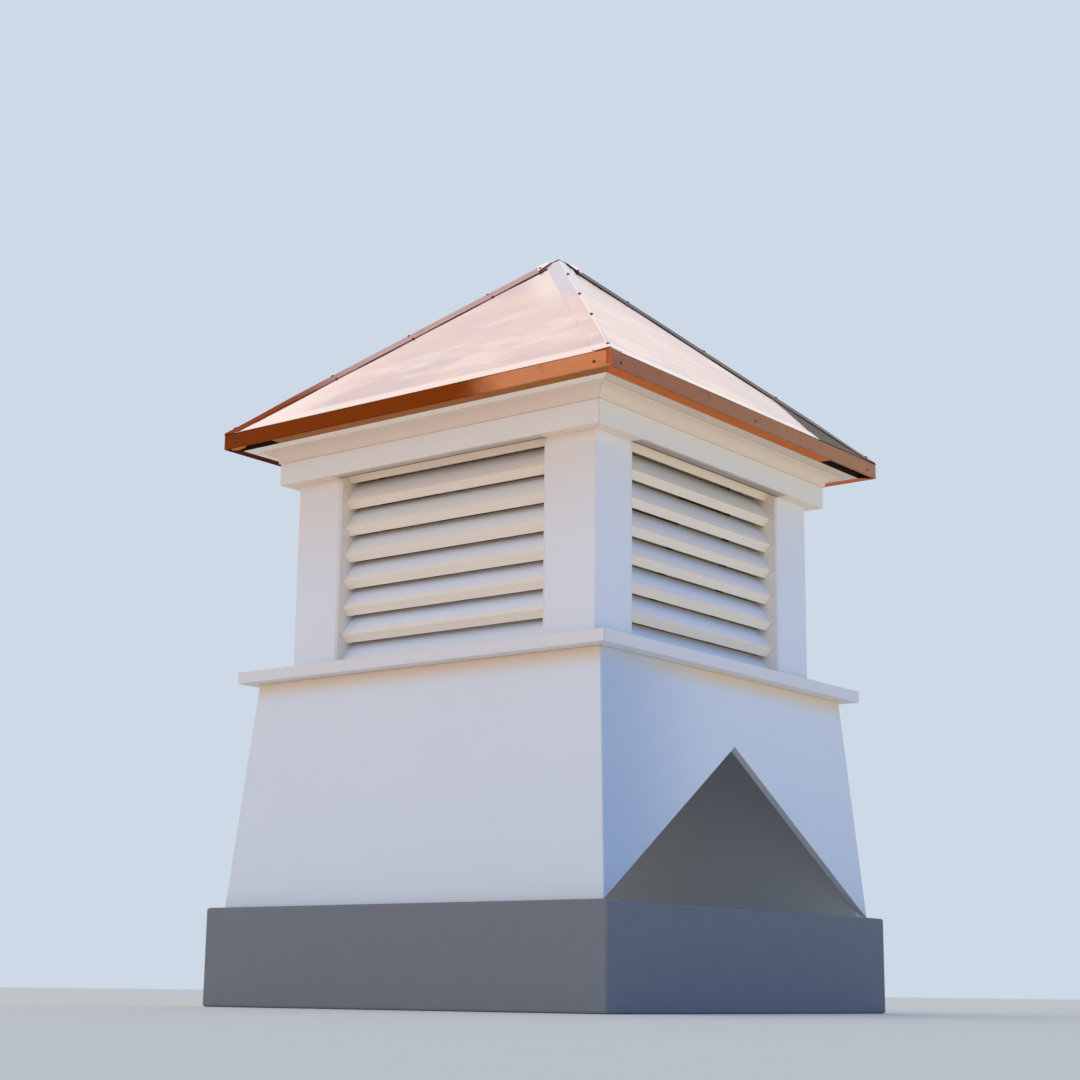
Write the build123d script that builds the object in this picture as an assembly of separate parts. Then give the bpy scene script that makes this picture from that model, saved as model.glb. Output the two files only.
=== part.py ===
from build123d import *
import math
import os

# Roof cupola in millimetres: a tapered skirt that straddles a ridge, a louvred box on a flat sill,
# a frieze and a cove crown, and a four-sided copper roof. +Z is up and the front faces -Y. The house's
# ridge runs along X, so the right and left skirt boards carry the V notch. The origin is on the floor
# under the middle of the cupola.

# Louvred box, whose width drives the rest
box_width = 580.0
post_width = 88.0
post_wall = 4.0
post_edge_radius = 1.5
opening_height = 301.0
jamb_thickness = 3.0
jamb_setback = 1.0
jamb_depth = 52.0
blade_count = 8
blade_wall = 2.5
blade_radius = 160.0
nose_setback = 9.5
nose_height = 11.0
lip_setback = 20.5
blade_run = 18.1
blade_rise = 48.0
header_lip_drop = 5.0

# Skirt and sill
skirt_height = 341.0
skirt_head_step = 35.5
skirt_flare = 27.0
skirt_wall = 12.5
house_roof_pitch = 8.0 / 12.0
sill_projection = 24.5
sill_thickness = 18.0

# Frieze and crown
frieze_projection = 22.5
frieze_height = 35.0
crown_projection = 20.0
crown_height = 19.0
crown_foot_projection = 2.5
crown_foot_fillet = 3.0
crown_head_fillet = 3.5
crown_cove_lip = 2.0
crown_cove_radius = 15.0

# Roof
soffit_margin = 22.5
soffit_thickness = 25.0
hem_width = 22.5
eave_face_height = 24.0
roof_rise = 328.0
roof_board = 15.0
roof_board_setback = 3.0
copper = 0.8
flange_length = 20.0
drip_edge_lap = 6.5
front_hem_cut_back = 105.0
right_hem_cut_back = 148.0
hip_cap_flange = 24.0
hip_cap_lap = 4.0
hip_cap_rise = 4.3
apex_cap_rim = 25.0
apex_cap_break = 18.0
apex_cap_rise = 10.5
apex_cap_clearance = 1.0

# Half widths and levels that follow
box_half = box_width / 2
post_inner = box_half - post_width
skirt_head = box_half + skirt_head_step
skirt_foot = skirt_head + skirt_flare
sill_edge = skirt_head + sill_projection
frieze_face = box_half + frieze_projection
crown_head = frieze_face + crown_projection
soffit_edge = crown_head + soffit_margin
eave_edge = soffit_edge + hem_width
sill_foot = skirt_height
sill_top = sill_foot + sill_thickness
frieze_foot = sill_top + opening_height
frieze_top = frieze_foot + frieze_height
soffit_foot = frieze_top + crown_height
eave_top = soffit_foot + eave_face_height
blade_pitch = (opening_height - header_lip_drop) / (blade_count - 1)
roof_slope = roof_rise / eave_edge
slope_length = math.hypot(1.0, roof_slope)
sheet_end = apex_cap_break + apex_cap_clearance

SIDES = ("front", "right", "back", "left")
CORNERS = ("front_right", "back_right", "back_left", "front_left")
SECTION = Plane(origin=(0, 0, 0), x_dir=(0, -1, 0), z_dir=(-1, 0, 0))
REACH = 2 * max(skirt_foot, sill_edge, eave_edge)
TOP = eave_top + roof_rise + REACH


def save(name, shape):
    """Write one sub-part under its own name."""
    export_step(shape, f"parts/{name}.step")


def outline(*points):
    """A closed outline of a cross-section: distance out from the middle, then height."""
    return make_face(Polyline(*points, close=True))


def block(inner, outer, foot, top):
    """The rectangular cross-section of a plain board."""
    return outline((inner, foot), (outer, foot), (outer, top), (inner, top))


def run(section, length):
    """Run a cross-section along the front side, half of the length each way."""
    return extrude(SECTION * section, amount=length / 2, both=True)


def mitred(section):
    """Run a cross-section along the front side and cut its ends on the corner diagonals."""
    wedge = make_face(Polyline((0, 0), (REACH, -REACH), (-REACH, -REACH), close=True))
    return run(section, 2 * REACH) & extrude(wedge, amount=TOP)


def turned(shape, quarter):
    """The front piece carried round to another side."""
    return Rot(0, 0, 90 * quarter) * shape


def on_four_sides(name, shape):
    """Write the front piece and its copies on the other three sides."""
    for quarter, side in enumerate(SIDES):
        save(f"{side}_{name}", turned(shape, quarter))


def make_skirt():
    """Four boards that lean in towards the sill; two are notched to sit over the ridge."""
    outside = ((skirt_foot, 0), (skirt_head, sill_foot))
    inside = ((skirt_head - skirt_wall, sill_foot), (skirt_foot - skirt_wall, 0))
    board = mitred(outline(*outside, *inside))
    ridge = skirt_foot * house_roof_pitch
    gable = Plane.YZ * make_face(Polyline((-skirt_foot, 0), (skirt_foot, 0), (0, ridge), close=True))
    house_roof = extrude(gable, amount=REACH, both=True)
    for quarter, side in enumerate(SIDES):
        panel = turned(board, quarter)
        if side in ("right", "left"):
            panel = panel - house_roof
        save(f"{side}_skirt", panel)


def make_posts():
    """Hollow square sleeves that stand on the sill and carry the soffit."""
    height = soffit_foot - sill_top
    sleeve = extrude(Rectangle(post_width, post_width), amount=height)
    sleeve = fillet(sleeve.edges().filter_by(Axis.Z), post_edge_radius)
    bore = extrude(Rectangle(post_width - 2 * post_wall, post_width - 2 * post_wall), amount=height)
    centre = box_half - post_width / 2
    post = Pos(centre, -centre, sill_top) * (sleeve - bore)
    for quarter, corner in enumerate(CORNERS):
        save(f"{corner}_post", turned(post, quarter))


def blade_section():
    """One hooked blade: a bowed front that falls to the nose, then a bevel back to the lip."""
    lip = (box_half - lip_setback, 0)
    nose = (box_half - nose_setback, nose_height)
    back = (box_half - lip_setback - blade_run, blade_rise)
    front_line = Line(lip, nose) + RadiusArc(nose, back, -blade_radius)
    return make_face(offset(front_line, blade_wall, side=Side.LEFT))


def make_louvres():
    """A jamb against each post and a stack of blades between the jambs, on every side."""
    jamb_face = block(box_half - jamb_depth, box_half - jamb_setback, sill_top, soffit_foot)
    jamb = extrude(SECTION * jamb_face, amount=jamb_thickness)
    near_jamb = Pos(post_inner, 0, 0) * jamb
    far_jamb = Pos(-post_inner + jamb_thickness, 0, 0) * jamb
    on_four_sides("louvre_jambs", Compound([near_jamb, far_jamb]))
    blade = run(blade_section(), 2 * (post_inner - jamb_thickness))
    stack = [Pos(0, 0, sill_top + place * blade_pitch) * blade for place in range(blade_count)]
    on_four_sides("louvre_blades", Compound(stack))


def crown_section():
    """A cove moulding with a small square fillet at its foot and its head."""
    foot_out = frieze_face + crown_foot_projection
    cove_foot = (foot_out, frieze_top + crown_foot_fillet)
    cove_head = (crown_head - crown_cove_lip, soffit_foot - crown_head_fillet)
    edge = (
        Polyline((box_half, soffit_foot), (box_half, frieze_top), (foot_out, frieze_top), cove_foot)
        + RadiusArc(cove_foot, cove_head, crown_cove_radius)
        + Polyline(cove_head, (crown_head, cove_head[1]), (crown_head, soffit_foot), (box_half, soffit_foot))
    )
    return make_face(edge)


def make_trim():
    """Sill under the posts, frieze round their heads and the crown above it."""
    on_four_sides("sill", mitred(block(post_inner, sill_edge, sill_foot, sill_top)))
    on_four_sides("frieze", mitred(block(box_half, frieze_face, frieze_foot, frieze_top)))
    on_four_sides("crown", mitred(crown_section()))


def roof_line(out):
    """Height of the line from the eave to the apex at a distance out from the middle."""
    return eave_top + (eave_edge - out) * roof_slope


def roof_layer(outer, inner, low, high):
    """A layer parallel to the roof line, low and high measured square to it."""
    low_step, high_step = low * slope_length, high * slope_length
    return outline(
        (outer, roof_line(outer) + low_step),
        (outer, roof_line(outer) + high_step),
        (inner, roof_line(inner) + high_step),
        (inner, roof_line(inner) + low_step),
    )


def make_roof_boards():
    """The soffit board and the four boards that lean on its bevelled edge."""
    board_out = eave_edge - copper - roof_board_setback
    board = mitred(roof_layer(board_out, sheet_end, -copper - roof_board, -copper))
    boards = [turned(board, quarter) for quarter in range(4)]
    save("front_and_back_roof_boards", Compound(boards[0::2]))
    save("right_and_left_roof_boards", Compound(boards[1::2]))
    square = Rectangle(2 * soffit_edge, 2 * soffit_edge)
    soffit = Pos(0, 0, soffit_foot) * extrude(square, amount=soffit_thickness)
    for shape in boards:
        soffit = soffit - shape
    save("soffit", soffit)


def cut_hem(edge, length):
    """Cut the front edge's hem back from the left corner."""
    reach_in = eave_edge - copper
    cut = Pos(-eave_edge, -reach_in, soffit_foot) * Box(
        length, reach_in, 2 * copper, align=(Align.MIN, Align.MIN, Align.CENTER)
    )
    return edge - cut


def make_drip_edges():
    """A copper face with a flange under the roof sheet and a hem that turns in to the soffit.

    At the corners one face is folded round on to the next: the right edge laps both its neighbours, and
    these lap the left edge.
    """
    flange_in = flange_length / slope_length
    path = Polyline(
        (soffit_edge, soffit_foot),
        (eave_edge, soffit_foot),
        (eave_edge, eave_top),
        (eave_edge - flange_in, eave_top + flange_in * roof_slope),
    )
    edge = mitred(make_face(offset(path, copper, side=Side.LEFT)))
    lap = Box(drip_edge_lap, copper, eave_face_height, align=(Align.MAX, Align.MIN, Align.MIN))
    front_lap = Pos(eave_edge, -eave_edge, soffit_foot) * lap
    left_lap = turned(front_lap, -1)
    back_lap, far_lap = mirror(front_lap, Plane.XZ), mirror(left_lap, Plane.XZ)
    right_edge = mirror(turned(cut_hem(edge, right_hem_cut_back), -1), Plane.YZ)
    save("front_drip_edge", cut_hem(edge, front_hem_cut_back) - front_lap + left_lap)
    save("right_drip_edge", right_edge + front_lap + back_lap)
    save("back_drip_edge", turned(edge, 2) - back_lap + far_lap)
    save("left_drip_edge", turned(edge, 3) - left_lap - far_lap)


def hip_cap_section():
    """A bent strip across a hip: a flat lap on each sheet and two slopes that rise to a crest."""
    fall = math.acos(math.sqrt((2 + roof_slope**2) / 2) / slope_length)
    lap_foot = hip_cap_flange - hip_cap_lap
    points = [
        (along * math.cos(fall) + copper * math.sin(fall), copper * math.cos(fall) - along * math.sin(fall))
        for along in (hip_cap_flange, lap_foot)
    ]
    left = [(-across, up) for across, up in points]
    path = Polyline(*left, (0, hip_cap_rise - copper), *reversed(points))
    return make_face(offset(path, copper, side=Side.LEFT))


def make_copper_roof():
    """Four sheets and a raised cap along each hip."""
    on_four_sides("roof_sheet", mitred(roof_layer(eave_edge, sheet_end, 0, copper)))
    hip_line = Plane(origin=(0, 0, eave_top + roof_rise), x_dir=(1, 1, 0), z_dir=(1, -1, -roof_slope))
    strip = extrude(hip_line * hip_cap_section(), amount=2 * REACH, both=True)
    half = eave_edge / 2
    quadrant = extrude(Pos(half, -half) * Rectangle(eave_edge, eave_edge), amount=2 * TOP)
    hip_cap = (strip & quadrant) - extrude(Rectangle(2 * apex_cap_rim, 2 * apex_cap_rim), amount=2 * TOP)
    for quarter, corner in enumerate(CORNERS):
        save(f"{corner}_hip_cap", turned(hip_cap, quarter))


def make_apex_cap():
    """A four-sided lid that stands on the sheets, closes the hip caps and flattens towards its tip."""
    crest = hip_cap_rise * math.sqrt(1 + roof_slope**2 / 2)
    wall = copper * slope_length
    low, high = crest, crest + wall
    tip = roof_line(apex_cap_break) + apex_cap_rise
    foot_in = apex_cap_rim - copper
    section = outline(
        (apex_cap_rim, roof_line(apex_cap_rim) + wall),
        (apex_cap_rim, roof_line(apex_cap_rim) + high),
        (apex_cap_break, roof_line(apex_cap_break) + high),
        (0, tip + high),
        (0, tip + low),
        (apex_cap_break, roof_line(apex_cap_break) + low),
        (foot_in, roof_line(foot_in) + low),
        (foot_in, roof_line(foot_in) + wall),
    )
    side = mitred(section)
    cap = side + turned(side, 1) + turned(side, 2) + turned(side, 3)
    save("apex_cap", cap)


os.makedirs("parts", exist_ok=True)
make_skirt()
make_trim()
make_posts()
make_louvres()
make_roof_boards()
make_drip_edges()
make_copper_roof()
make_apex_cap()
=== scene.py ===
# %% [markdown]
# # A louvred roof cupola, finished for its picture
#
# The CAD model comes in as a frame that is already right in size. This lesson puts the finishes on it and
# adds what is too thin or too soft for CAD: eased edges on the boards, rippled copper, the apex cap's folded
# legs, seams and rivets. Everything is in metres, with the ground under the cupola at z = 0, the front facing
# -Y and the notched gable side facing +X.

# %% Load the frame
import math

import bpy
import numpy as np
from mathutils import Matrix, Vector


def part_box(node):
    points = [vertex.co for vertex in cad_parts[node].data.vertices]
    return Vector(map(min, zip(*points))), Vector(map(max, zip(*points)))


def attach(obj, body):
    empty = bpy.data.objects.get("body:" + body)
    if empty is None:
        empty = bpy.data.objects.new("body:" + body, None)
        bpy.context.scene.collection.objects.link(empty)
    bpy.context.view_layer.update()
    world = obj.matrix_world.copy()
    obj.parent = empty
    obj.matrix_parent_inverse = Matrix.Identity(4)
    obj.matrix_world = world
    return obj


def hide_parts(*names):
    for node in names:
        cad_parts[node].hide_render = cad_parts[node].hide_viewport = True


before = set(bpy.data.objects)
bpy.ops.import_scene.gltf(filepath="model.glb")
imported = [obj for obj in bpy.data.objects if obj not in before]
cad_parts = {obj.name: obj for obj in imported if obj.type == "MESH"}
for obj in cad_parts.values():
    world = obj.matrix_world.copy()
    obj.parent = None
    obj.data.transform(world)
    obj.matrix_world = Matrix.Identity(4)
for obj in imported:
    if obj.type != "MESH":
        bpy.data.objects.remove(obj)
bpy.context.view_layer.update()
print("nodes in the frame:", len(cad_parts))

# %% [markdown]
# ## The sizes that several pieces share
#
# A new piece has to meet the CAD solids, so the heights and distances that they share are read from the
# frame's boxes where a box gives them. The rest are the same round numbers as in the CAD source. SLANT is the
# length of a line up the roof's slope for each metre of its plan.

# %% Shared sizes
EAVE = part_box("front_roof_sheet")[1].x
EAVE_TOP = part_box("front_roof_sheet")[0].z
SOFFIT_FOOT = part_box("soffit")[0].z
SOFFIT_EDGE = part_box("soffit")[1].x
SILL_FOOT, SILL_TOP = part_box("front_sill")[0].z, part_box("front_sill")[1].z
SILL_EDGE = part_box("front_sill")[1].x
FRIEZE_FOOT, FRIEZE_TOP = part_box("front_frieze")[0].z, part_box("front_frieze")[1].z
FRIEZE_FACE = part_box("front_frieze")[1].x
SKIRT_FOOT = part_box("front_skirt")[1].x
BOX_HALF = 0.290
POST_INNER = 0.202
JAMB = 0.003
ROOF_RISE = 0.328
SHEET = 0.0008
SLOPE = ROOF_RISE / EAVE
SLANT = math.hypot(1, SLOPE)
APEX = EAVE_TOP + ROOF_RISE
SHEET_END = 0.0055
SIDES = ("front", "right", "back", "left")
CORNERS = ("front_right", "back_right", "back_left", "front_left")
print("eave", round(EAVE, 4), "at height", round(EAVE_TOP, 4), "slope", round(SLOPE, 4))

# %% [markdown]
# ## The camera
#
# The place and the lens of the camera come from lines that were measured on the photograph: it stands a
# little lower than the foot of the cupola and looks up. A camera needs three directions at right angles.
# Forward comes from the compass turn and the upward tilt, right is level, up is their cross product, and a
# small roll turns the last two about the first.

# %% Camera
CAMERA_PLACE = (1.888, -2.477, -0.119)
TURN, TILT, ROLL = 37.78, 12.81, 0.65
LENS = 66.34


def aim(turn, tilt, roll):
    """Rotation whose columns are right, up and backwards for a turn, a tilt and a roll in degrees."""
    turn, tilt, roll = (math.radians(angle) for angle in (turn, tilt, roll))
    forward = np.array([-math.sin(turn) * math.cos(tilt), math.cos(turn) * math.cos(tilt), math.sin(tilt)])
    level = np.array([math.cos(turn), math.sin(turn), 0.0])
    upward = np.cross(level, forward)
    right = level * math.cos(roll) + upward * math.sin(roll)
    up = -level * math.sin(roll) + upward * math.cos(roll)
    return Matrix(np.column_stack([right, up, -forward]).tolist())


camera = bpy.data.objects.new("camera", bpy.data.cameras.new("camera"))
bpy.context.scene.collection.objects.link(camera)
bpy.context.scene.camera = camera
camera.data.sensor_width = 36.0
camera.data.lens = LENS
camera.matrix_world = Matrix.Translation(CAMERA_PLACE) @ aim(TURN, TILT, ROLL).to_4x4()
bpy.context.scene.view_settings.view_transform = "Standard"
print("camera stands at", [round(value, 3) for value in camera.location])

# %% [markdown]
# ## Shader maths that reads like arithmetic
#
# A finish is a graph of nodes, and graphs are hard to read as calls. A Wire holds one output socket and
# turns + - * and / into Math nodes, so a mask can be written as an expression. Finish.node makes every
# other node: it sets the node's own settings first and then its sockets, by value or by wire.

# %% Wires and finishes
class Wire:
    """One output socket of a finish. Arithmetic on it adds Math nodes."""

    def __init__(self, finish, socket):
        self.finish = finish
        self.socket = socket

    def maths(self, operation, *values):
        """A Math node over values, each a number or a wire."""
        return self.finish.node("ShaderNodeMath", {"operation": operation}, dict(enumerate(values)))

    def __add__(self, other):
        return self.maths("ADD", self, other)

    def __sub__(self, other):
        return self.maths("SUBTRACT", self, other)

    def __rsub__(self, other):
        return self.maths("SUBTRACT", other, self)

    def __mul__(self, other):
        return self.maths("MULTIPLY", self, other)

    def __truediv__(self, other):
        return self.maths("DIVIDE", self, other)

    __radd__, __rmul__ = __add__, __mul__

    def __abs__(self):
        return self.maths("ABSOLUTE", self)

    def fraction(self):
        """What is left over after the whole number."""
        return self.maths("FRACT", self)

    def rise(self, low, high):
        """0 below low, 1 above high and a smooth S between them; low above high turns it round."""
        if low > high:
            return 1 - self.rise(high, low)
        settings = {"interpolation_type": "SMOOTHSTEP"}
        return self.finish.node("ShaderNodeMapRange", settings, {0: self, 1: low, 2: high})

    def within(self, low, high, edge):
        """1 between low and high, falling to 0 over the edge outside them."""
        return self.rise(low - edge, low) * self.rise(high + edge, high)


class Finish:
    """A material, or the world, whose nodes are made one call at a time."""

    def __init__(self, owner):
        owner.use_nodes = True
        self.owner = owner
        self.tree = owner.node_tree
        self.tree.nodes.clear()

    def node(self, kind, settings=None, sockets=None, output=0):
        """Add a node: its settings first, then values or wires on its sockets, and give back one output."""
        made = self.tree.nodes.new(kind)
        for name, value in (settings or {}).items():
            setattr(made, name, value)
        for name, value in (sockets or {}).items():
            if isinstance(value, Wire):
                self.tree.links.new(value.socket, made.inputs[name])
            else:
                made.inputs[name].default_value = value
        return Wire(self, made.outputs[output]) if made.outputs else None

    def place(self, stretch=(1, 1, 1), turn=(0, 0, 0)):
        """Object coordinates, stretched and turned by a Mapping node."""
        here = self.node("ShaderNodeTexCoord", output="Object")
        return self.node("ShaderNodeMapping", None, {0: here, "Rotation": turn, "Scale": stretch})

    def axis(self, letter):
        """One object coordinate in metres, as a number that varies over the surface."""
        here = self.node("ShaderNodeTexCoord", output="Object")
        return self.node("ShaderNodeSeparateXYZ", None, {0: here}, output=letter)

    def out(self):
        """The larger of |x| and |y|: how far out from the middle a point is, square by square."""
        x, y = abs(self.axis("X")), abs(self.axis("Y"))
        return x.maths("MAXIMUM", x, y)

    def noise(self, scale, detail=2.0, roughness=0.5, **where):
        """Cloudy noise from 0 to 1 on object coordinates."""
        sockets = {"Vector": self.place(**where), "Scale": scale, "Detail": detail, "Roughness": roughness}
        return self.node("ShaderNodeTexNoise", None, sockets)

    def mix(self, share, first, second):
        """A colour that goes from first to second as share goes from 0 to 1."""
        return self.node("ShaderNodeMix", {"data_type": "RGBA"}, {0: share, 6: first, 7: second}, output=2)

    def bump(self, height, distance):
        """A normal that leans as a height map of 0 to 1 times distance would."""
        return self.node("ShaderNodeBump", None, {"Height": height, "Distance": distance})

    def shade(self, **sockets):
        """The main surface shader, wired to the output."""
        named = {name.replace("_", " "): value for name, value in sockets.items()}
        self.show(self.node("ShaderNodeBsdfPrincipled", None, named))
        return self.owner

    def show(self, surface):
        """Wire a shader to the output of the material or the world."""
        kind = "World" if isinstance(self.owner, bpy.types.World) else "Material"
        self.node(f"ShaderNodeOutput{kind}", None, {"Surface": surface})

    def __repr__(self):
        return f"{self.owner.name}: {len(self.tree.nodes)} nodes"


def new_finish(name):
    """An empty material to be finished."""
    return Finish(bpy.data.materials.new(name))


def tone(red, green, blue):
    """A colour as it looks on a screen, 0 to 255, given as the linear light that Blender works in."""
    screen = np.array([red, green, blue]) / 255.0
    light = np.where(screen <= 0.04045, screen / 12.92, ((screen + 0.055) / 1.055) ** 2.4)
    return (*light.tolist(), 1.0)


# %% [markdown]
# ## Surfaces worked out on grids
#
# Most new pieces are one of two things: a profile carried from one end to the other, or a height worked out
# over a sheet. Both are arrays of points in rows and columns, and one helper makes the faces for both. It
# takes a stack of such grids too, so a set of equal pieces is still one array. Faces have to point outwards.
# The helper adds up the volume between every triangle and a point in the middle of the cupola: faces that
# point away from the middle add volume, so a sum below zero says that the surface is inside out.

# %% Mesh helpers
MIDDLE = np.array([0.0, 0.0, 0.45])


def side_by_side(*parts):
    """Arrays or numbers put together along a new last axis, such as x, y and z as points."""
    return np.stack(np.broadcast_arrays(*parts), axis=-1)


def quarter_turn(points, quarters):
    """The front piece's points carried round to another side, a quarter turn at a time."""
    angle = quarters * math.pi / 2
    cosine, sine = math.cos(angle), math.sin(angle)
    turn = np.array([[cosine, -sine, 0], [sine, cosine, 0], [0, 0, 1]])
    return np.asarray(points) @ turn.T


def turn_outwards(mesh):
    """Flip a mesh whose triangles, joined to the middle, add up to a volume below zero."""
    mesh.calc_loop_triangles()
    corners = np.empty(3 * len(mesh.loop_triangles), int)
    mesh.loop_triangles.foreach_get("vertices", corners)
    places = np.empty(3 * len(mesh.vertices))
    mesh.vertices.foreach_get("co", places)
    first, second, third = np.moveaxis((places.reshape(-1, 3) - MIDDLE)[corners.reshape(-1, 3)], 1, 0)
    if np.einsum("ij,ij->", first, np.cross(second, third)) < 0:
        mesh.flip_normals()


def sharpen_borders(mesh):
    """Mark the edges with a single face as sharp, so that a wall added there gets a crisp rim."""
    edge_of_corner = np.empty(len(mesh.loops), int)
    mesh.loops.foreach_get("edge_index", edge_of_corner)
    faces_on_edge = np.bincount(edge_of_corner, minlength=len(mesh.edges))
    mesh.edges.foreach_set("use_edge_sharp", faces_on_edge == 1)


def shell(name, grids, material, around=False, caps=False, smooth=True):
    """A mesh from a grid of points, or a stack of grids, whose last axes are rows, columns and x, y, z.

    Point (i, j) joins (i, j + 1), (i + 1, j + 1) and (i + 1, j) in one face. around joins the last column
    to the first, and caps closes the first and the last row with one face each.
    """
    grids = np.asarray(grids, float)
    rows, columns = grids.shape[-3:-1]
    points = grids.reshape(-1, 3)
    index = np.arange(len(points)).reshape(-1, rows, columns)
    after = np.roll(index, -1, axis=2)
    last = columns if around else columns - 1
    here, right = index[:, :, :last], after[:, :, :last]
    quads = side_by_side(here[:, :-1], right[:, :-1], right[:, 1:], here[:, 1:]).reshape(-1, 4)
    faces = quads.tolist()
    if caps:
        faces += index[:, 0, ::-1].tolist() + index[:, -1, :].tolist()
    mesh = bpy.data.meshes.new(name)
    mesh.from_pydata(points.tolist(), [], faces)
    mesh.polygons.foreach_set("use_smooth", [smooth] * len(faces))
    mesh.validate()
    sharpen_borders(mesh)
    turn_outwards(mesh)
    mesh.materials.append(material)
    piece = bpy.data.objects.new(name, mesh)
    bpy.context.scene.collection.objects.link(piece)
    return piece


def arc(first, last, radius, way):
    """Nine points on an arc from first to last; its centre is on the left for way 1, on the right for -1."""
    half = np.linalg.norm(last - first) / 2
    along = (last - first) / (2 * half)
    centre = (first + last) / 2 + way * np.array([-along[1], along[0]]) * math.sqrt(radius**2 - half**2)
    angles = np.unwrap([math.atan2(*(point - centre)[::-1]) for point in (first, last)])
    sweep = np.linspace(*angles, 9)
    return centre + radius * side_by_side(np.cos(sweep), np.sin(sweep))


def side_shell(side, word, grids, material, solid=True):
    """A shell drawn at the front, named after its side and carried round to it; solid closes it all round."""
    carried = quarter_turn(grids, SIDES.index(side))
    return shell(f"{side}_{word}", carried, material, around=solid, caps=solid)


def settle(piece, slot, *nodes):
    """Let a piece ride on the one body and hide the CAD nodes that it stands for; slot is not used."""
    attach(piece, "root")
    if nodes:
        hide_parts(*nodes)
    return piece


def ease(piece, width, segments=2):
    """Round a piece's sharp edges with a Bevel, and keep its flat faces flat."""
    bevel = piece.modifiers.new("eased edges", "BEVEL")
    bevel.width = width
    bevel.segments = segments
    bevel.limit_method = "ANGLE"
    bevel.angle_limit = math.radians(35)
    bevel.harden_normals = True
    return piece


def thicken(piece, thickness, rim=None):
    """Give an open surface a wall that grows away from its outer side; rim is the finish of the cut edge."""
    wall = piece.modifiers.new("wall", "SOLIDIFY")
    wall.thickness = thickness
    wall.offset = -1.0
    if rim:
        piece.data.materials.append(rim)
        wall.material_offset_rim = 1
    return piece


# %% [markdown]
# ## Ground, stand and light
#
# The photograph looks up from below the cupola's foot, so ground at z = 0 would hide it. The cupola
# therefore stands on a low grey stand, and the pale floor lies just under the camera. The real one stands in
# the open: the sky on its right is a deeper blue than the rest, and warm light comes up at the eaves from
# below. So the world is bluer towards +X, and two wide lamps lie on the floor, in front and on the right, and
# face up. The camera and all reflections see a plain pale backdrop instead, the reflections with a white haze
# high up.

# %% Stand and floor
STAND_HEIGHT = 0.145
STAND_HALF = 0.372

stage_floor = new_finish("plain pale floor")
pale = stage_floor.mix(stage_floor.noise(30, 3), tone(240, 236, 226), tone(234, 231, 222))
floor_material = stage_floor.shade(Base_Color=pale, Roughness=0.85, Specular_IOR_Level=0.1)

stage_stand = new_finish("plain grey stand")
stand_grey = stage_stand.mix(stage_stand.noise(40, 3), tone(136, 138, 142), tone(128, 130, 135))
stand_material = stage_stand.shade(Base_Color=stand_grey, Roughness=0.8, Specular_IOR_Level=0.2)


def make_stand():
    """A square block: its foot and its head are the two rows of a grid that goes round four corners."""
    corner = np.array([[1, -1], [1, 1], [-1, 1], [-1, -1]]) * STAND_HALF
    grid = np.zeros((2, 4, 3))
    grid[..., :2] = corner
    grid[0, :, 2] = -STAND_HEIGHT
    return ease(shell("stand", grid, stand_material, around=True, caps=True, smooth=False), 0.004)


def make_floor():
    """A flat disc: radius along one axis of the grid, angle along the other."""
    circle = np.linspace(0, 2 * math.pi, 65)[:-1]
    radius, angle = np.meshgrid([0.05, 1.0, 4.0, 16.0, 60.0], circle, indexing="ij")
    grid = side_by_side(radius * np.cos(angle), radius * np.sin(angle), -STAND_HEIGHT)
    floor = shell("floor", grid, floor_material, around=True)
    floor.data.flip_normals()
    return floor


make_stand()
make_floor()
print(stage_floor, stage_stand)

# %% World and lamp
OPEN_LOW = (1.26, 1.22, 1.13, 1.0)
OPEN_HIGH = (0.78, 0.80, 0.76, 1.0)
RIGHT_LOW = (0.42, 0.63, 0.78, 1.0)
RIGHT_HIGH = (0.05, 0.20, 0.70, 1.0)
BACKDROP = tone(206, 217, 231)
HAZE = tone(253, 253, 255)

world = Finish(bpy.data.worlds.new("soft daylight"))
bpy.context.scene.world = world.owner


def direction(letter):
    """One part of the direction in which the world is seen, from -1 to 1."""
    here = world.node("ShaderNodeTexCoord", output="Generated")
    return world.node("ShaderNodeSeparateXYZ", None, {0: here}, output=letter)


def kind_of_ray(name):
    """1 for the rays of one kind, 0 for the rest."""
    return world.node("ShaderNodeLightPath", output=name)


to_the_right = direction("X").rise(-0.2, 0.7)
low_sky = world.mix(to_the_right, OPEN_LOW, RIGHT_LOW)
high_sky = world.mix(to_the_right, OPEN_HIGH, RIGHT_HIGH)
sky = world.mix(direction("Z").rise(0.10, 0.45), low_sky, high_sky)
lit = world.node("ShaderNodeBackground", None, {"Color": sky, "Strength": 1.0})
haze_share = direction("Z").rise(0.30, 0.50) * kind_of_ray("Is Glossy Ray")
seen_colour = world.mix(haze_share, BACKDROP, HAZE)
seen = world.node("ShaderNodeBackground", None, {"Color": seen_colour, "Strength": 1.0})
shown = kind_of_ray("Is Camera Ray") + kind_of_ray("Is Glossy Ray") + kind_of_ray("Is Transmission Ray")
world.show(world.node("ShaderNodeMixShader", None, {0: shown.maths("MINIMUM", shown, 1.0), 1: lit, 2: seen}))


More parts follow.
